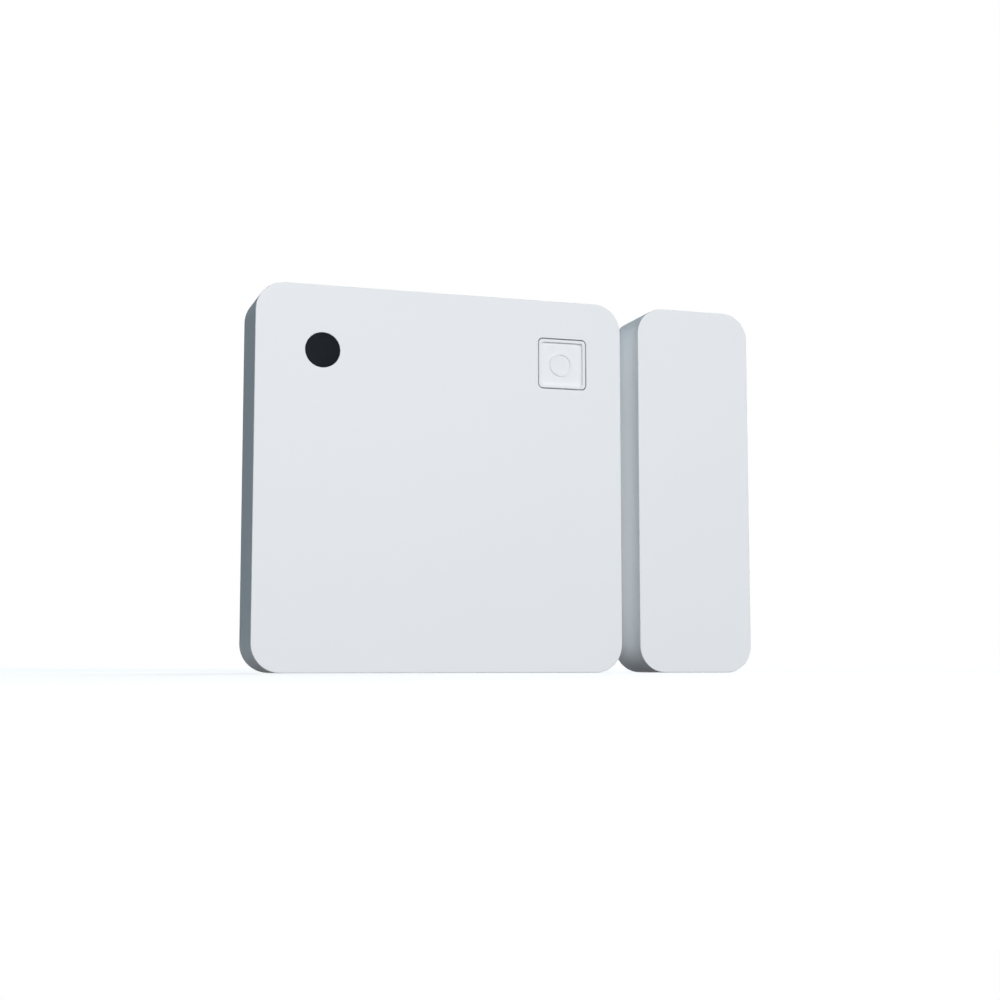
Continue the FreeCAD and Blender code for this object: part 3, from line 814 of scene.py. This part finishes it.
def snap_dome():
    """Thin spring dome on the floor of the switch, modelled at rest; the button flattens it as it
    goes in.
    """
    low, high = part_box("switch_dome")
    middle = (low + high) / 2
    rim = (high.x - low.x) / 2
    rise = high.y - low.y
    sheet = 0.06 * MM
    count = 10
    curve = (rim**2 + rise**2) / (2 * rise)
    inside = curve - sheet
    level = low.y + curve
    opening = math.asin(rim / curve)
    last = math.acos((level - high.y) / inside)
    rings = [share * opening / count for share in range(1, count + 1)]
    steps = [(level - curve * math.cos(angle), curve * math.sin(angle)) for angle in rings]
    rings = [share * last / count for share in range(count, 0, -1)]
    steps += [(level - inside * math.cos(angle), inside * math.sin(angle)) for angle in rings]
    dome = turned(steps, 48)
    dome.data.transform(shift(middle.x, 0, middle.z))
    fit(dome, "snap_dome", "sensor_unit", clip_steel)
    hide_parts("switch_dome")
    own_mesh(dome)


def wire_joints():
    """Cones of solder where the reed switch's wires meet the board."""
    wire_low, wire_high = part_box("reed_lead")
    blade_low, blade_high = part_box("reed_fixed_blade")
    steps = (
        (0.02, 0.60), (0.07, 0.48), (0.16, 0.38), (0.32, 0.31), (0.50, 0.27), (0.58, 0.25),
    )
    cone = turned([(-rooted, 0.62 * MM)] + in_mm(steps), 28)
    across = (wire_low.x + wire_high.x) / 2
    wire_radius = (wire_high.x - wire_low.x) / 2
    seats = (wire_low.z + wire_radius, blade_high.z - wire_radius)
    places = [shift(across, board_high.y, z) for z in seats]
    fit(repeat(cone, places), "reed_solder", "sensor_unit", bright_solder)


def contact_joint(name, angle, inner, outer, behind):
    """Solder that has run out round a contact's foot, which lies inner to outer from the cell."""
    half = 1.5 * MM
    spread = 0.28 * MM
    edge = 0.02 * MM
    rise = 0.13 * MM
    pool = block((inner, -sunk, -half - spread), (outer + spread, edge, half + spread))
    middle = Vector(((inner + outer) / 2, 0, 0))
    round_corners(pool, 1, 0.3 * MM, 4)
    edit(pool, "FACE", lambda face: face.normal.y > 0.99)
    level = edge
    for share, narrow in ((0.3, 0.93), (0.7, 0.95), (1.0, 0.96)):
        step = edge + share * (rise - edge) - level
        bpy.ops.mesh.extrude_region_move(TRANSFORM_OT_translate={"value": (0, step, 0)})
        bpy.ops.transform.resize(value=(narrow, 1, narrow), center_override=middle)
        level += step
    done()
    turn = Matrix.Rotation(-math.radians(angle), 4, "Y")
    flip = Matrix.Identity(4) if behind else Matrix.Rotation(math.pi, 4, "X")
    seat = board_high.y if behind else board_low.y
    pool.data.transform(shift(cell_middle.x, seat, cell_middle.z) @ turn @ flip)
    fit(pool, name, "sensor_unit", bright_solder)


chip_leads()
switch_rivets()
snap_dome()
wire_joints()
contact_joint("positive_solder", 45, 11.4 * MM, 13.35 * MM, True)
contact_joint("negative_solder", 20, 12.45 * MM, 13.55 * MM, False)


# Copper, pads and print on the back of the board

def on_back(pieces, name, finish):
    fit(join(pieces), name, "sensor_unit", finish)


copper_height = 0.02 * MM
power_track = 0.8 * MM
signal_track = 0.28 * MM

power_routes = (
    ((4.4, 4.4), (6.2, 6.2), (6.2, 8.0), (4.6, 9.6), (-4.6, 9.6)),
    ((8.3, -10.0), (7.3, -10.0), (5.8, -11.5), (5.8, -13.4)),
    ((12.7, -10.0), (13.2, -9.5), (13.2, -4.6), (10.6, -2.0), (10.6, 4.4)),
)
signal_routes = (
    ((15.02, -9.9), (15.02, -11.6), (13.6, -13.0), (9.4, -13.0)),
    ((15.02, 7.9), (14.0, 8.9), (9.4, 8.9), (8.4, 9.9), (8.4, 13.6)),
    ((-12.8, 7.4), (-12.8, 9.2), (-11.6, 10.4), (-11.6, 13.2)),
    ((-11.2, 7.4), (-11.2, 8.8), (-10.0, 10.0), (-10.0, 12.6), (-9.2, 13.4), (-6.6, 13.4)),
    ((-9.6, 7.4), (-9.6, 8.4), (-8.8, 9.2), (-8.8, 11.8), (-8.0, 12.6), (-5.8, 12.6)),
    ((-8.0, 7.4), (-8.0, 9.8), (-6.8, 11.0), (-4.0, 11.0)),
    ((9.2, 1.2), (9.2, 5.6), (8.0, 6.8), (8.0, 7.6)),
    ((12.0, 1.6), (12.0, 6.0), (13.0, 7.0)),
    ((7.6, 1.8), (8.0, 1.4), (8.0, -1.6), (9.4, -3.0), (9.4, -7.4)),
)
track_pieces = [strip(route, power_track, board_high.y, copper_height) for route in power_routes]
track_pieces += [strip(route, signal_track, board_high.y, copper_height) for route in signal_routes]
on_back(track_pieces, "board_tracks", copper_under_lacquer())

via_places = [route[-1] for route in power_routes + signal_routes]
via_places += [(9.2, 1.2), (12.0, 1.6), (7.6, 1.8), (-4.6, 8.6), (-3.6, 9.6), (5.8, -14.6)]
via_places += [(-16.0, z) for z in (6.6, 8.8, 11.0, 13.2)]
via_places += [(x, 16.0) for x in (-12, -8, -4, 0, 8, 12)]
via_steps = ((0.024, 0.33), (0.030, 0.31), (0.030, 0.18), (-0.005, 0.15))
gold = gold_pad()
via = turned([(-sunk, 0.34 * MM)] + in_mm(via_steps), 20)
via_spots = [shift(x * MM, board_high.y, z * MM) for x, z in via_places]
fit(repeat(via, via_spots), "board_vias", "sensor_unit", gold)

pad_places = [(x, 7.4) for x in (-12.8, -11.2, -9.6, -8.0, -6.4, -4.8)]
pad_steps = ((0.028, 0.55), (0.035, 0.52), (0.032, 0.20), (0.026, 0.06))
pad = turned([(-sunk, 0.56 * MM)] + in_mm(pad_steps), 28)
pad_spots = [shift(x * MM, board_high.y, z * MM) for x, z in pad_places]
fit(repeat(pad, pad_spots), "test_pads", "sensor_unit", gold)

print_height = 0.012 * MM
print_line = 0.16 * MM
plus_line = 0.22 * MM
label_width = 2.2 * MM
print_routes = (
    ((13.7, -8.4), (13.7, 6.4)),
    ((7.9, -9.0), (7.9, -8.75), (13.05, -8.75), (13.05, -9.0)),
    ((7.9, -11.0), (7.9, -11.25), (13.05, -11.25), (13.05, -11.0)),
    ((-13.9, 6.5), (-13.9, 8.3), (-13.3, 8.3)),
    ((-3.7, 6.5), (-3.7, 8.3), (-4.3, 8.3)),
    ((6.6, 10.6), (6.6, 14.2), (7.2, 14.2)),
)
plus_arms = (((1.2, 7.6), (2.6, 7.6)), ((1.9, 6.9), (1.9, 8.3)))
label_field = ((-2.6, 12.9), (2.8, 12.9))
print_pieces = [strip(route, print_line, board_high.y, print_height) for route in print_routes]
print_pieces += [strip(route, plus_line, board_high.y, print_height) for route in plus_arms]
print_pieces.append(strip(label_field, label_width, board_high.y, print_height))
on_back(print_pieces, "board_print", printed_white())


def cell_plus_mark():
    """Plus sign pressed up from the back of the coin cell."""
    arm = 0.45 * MM
    reach = 1.5 * MM
    rise = 0.05 * MM
    mark = block((-arm, -rooted, -arm), (arm, rise, arm))
    for axis in (0, 2):
        for side in (-1, 1):
            def at_arm(face):
                faces_out = face.normal[axis] * side > 0.9
                return faces_out and abs(face.calc_center_median()[2 - axis]) < near

            edit(mark, "FACE", at_arm)
            out = [0, 0, 0]
            out[axis] = side * reach
            bpy.ops.mesh.extrude_region_move(TRANSFORM_OT_translate={"value": out})
            done()
    mark.data.transform(shift(cell_middle.x, cell_high.y, cell_middle.z))
    ease_edges(mark, 0.02 * MM)
    etched = drawn_metal("etched_steel", (0.30, 0.30, 0.31, 1), 0.5)
    fit(mark, "cell_plus_mark", "coin_cell", etched)


cell_plus_mark()


# Floor, light and camera

floor_size = 6
floor_gap = 0.01 * MM  # between the floor and the object's lowest point
shadow_reach = 0.15  # the floor takes shadows this far out, and is plain white further away
near_glow = 0.64  # the floor's own light where it takes shadows
object_middle = Vector((0.007, -0.004, 0))
white = (1, 1, 1, 1)


def shown_white(finish):
    """1 for the rays that see the white surroundings: from the camera, a gloss or glass."""
    path = {
        name: finish.add("LightPath", output=name)
        for name in ("Is Camera Ray", "Is Glossy Ray", "Is Transmission Ray")
    }
    return path["Is Camera Ray"].larger(path["Is Glossy Ray"]).larger(path["Is Transmission Ray"])


def floor():
    bpy.ops.mesh.primitive_plane_add(size=floor_size, location=(0, 0, cad_low.z - floor_gap))
    ground = bpy.context.object
    ground.name = "floor"
    finish = Finish("pale_floor")
    across, along, _ = finish.axes()
    away = finish.add("MapRange", {"interpolation_type": "SMOOTHSTEP"}, {
        "Value": (across * across + along * along).root(),
        "From Min": shadow_reach,
        "From Max": shadow_reach * 3,
    })
    glow = finish.add("Emission", None, {"Color": white, "Strength": 1.0})
    lit = finish.add("Emission", None, {"Color": white, "Strength": near_glow})
    dust = finish.noise(80 * MM, 1.0)
    pale = finish.shade((0.62, 0.62, 0.62, 1), 0.01, dust)
    plain = finish.add("BsdfDiffuse", None, {"Color": pale})
    shaded = finish.add("AddShader", None, {0: lit, 1: plain})
    bright = finish.add("MixShader", None, {0: away, 1: shaded, 2: glow})
    dim = finish.add("BsdfDiffuse", None, {"Color": (0.03, 0.055, 0.08, 1)})
    both = finish.add("MixShader", None, {0: shown_white(finish), 1: dim, 2: bright})
    out = finish.tree.nodes["Material Output"]
    finish.tree.links.new(both.socket, out.inputs["Surface"])
    ground.data.materials.append(finish.material)


def surroundings():
    world = bpy.data.worlds.new("studio")
    world.use_nodes = True
    bpy.context.scene.world = world
    finish = Finish("studio", world.node_tree)
    ambient = finish.add("Background", None, {"Color": (0.433, 0.768, 1.0, 1), "Strength": 0.19})
    seen = finish.add("Background", None, {"Color": white, "Strength": 1.0})
    both = finish.add("MixShader", None, {0: shown_white(finish), 1: ambient, 2: seen})
    out = finish.tree.nodes["World Output"]
    finish.tree.links.new(both.socket, out.inputs["Surface"])


def softbox(name, place, size, power, colour=(1, 1, 1)):
    """Square lamp that faces the object."""
    lamp = bpy.data.lights.new(name, "AREA")
    lamp.shape = "SQUARE"
    lamp.size = size
    lamp.energy = power
    lamp.color = colour
    holder = bpy.data.objects.new(name, lamp)
    holder.location = place
    holder.rotation_euler = (object_middle - Vector(place)).to_track_quat("-Z", "Y").to_euler()
    bpy.context.scene.collection.objects.link(holder)


def dark_card():
    """Black card behind the object, which only its glossy rays see."""
    place = (-0.1, 0.28, 0.1)
    bpy.ops.mesh.primitive_plane_add(size=0.8, location=place, rotation=(math.pi / 2, 0, 0))
    card = bpy.context.object
    card.name = "dark_card"
    card.visible_camera = False
    card.visible_diffuse = False
    card.visible_shadow = False
    card.visible_transmission = False
    finish = Finish("black_card")
    finish.surface(Base_Color=(0.02, 0.023, 0.026, 1), Roughness=1.0, Specular_IOR_Level=0.0)
    card.data.materials.append(finish.material)


floor()
surroundings()
dark_card()
lamp_colour = (1.0, 0.972, 0.966)
rear_colour = (0.92, 0.965, 1.0)
softbox("front_lamp", (-0.06, -0.30, 0.03), 0.20, 0.828, lamp_colour)
softbox("right_lamp", (0.23, -0.38, 0.06), 0.20, 0.535, lamp_colour)
softbox("rear_lamp", (0.30, 0.55, 0.04), 0.34, 3.88, rear_colour)
softbox("high_lamp", (0.22, 0.24, 0.42), 0.18, 0.65)

# The camera was placed by fitting the edges of both units to the photograph
picture_px = 1000
focal_px = 1619.0
camera_place = Vector((-41.258, -153.715, -17.133)) * MM
camera_yaw = 0.3102
camera_pitch = 0.1007

camera_data = bpy.data.cameras.new("camera")
camera_data.sensor_width = 36.0
camera_data.lens = focal_px / picture_px * camera_data.sensor_width
camera_data.clip_start = 5 * MM
camera = bpy.data.objects.new("camera", camera_data)
camera.location = camera_place
camera.rotation_euler = (math.pi / 2 + camera_pitch, 0, -camera_yaw)
bpy.context.scene.collection.objects.link(camera)
bpy.context.scene.camera = camera
bpy.context.scene.view_settings.view_transform = "Standard"
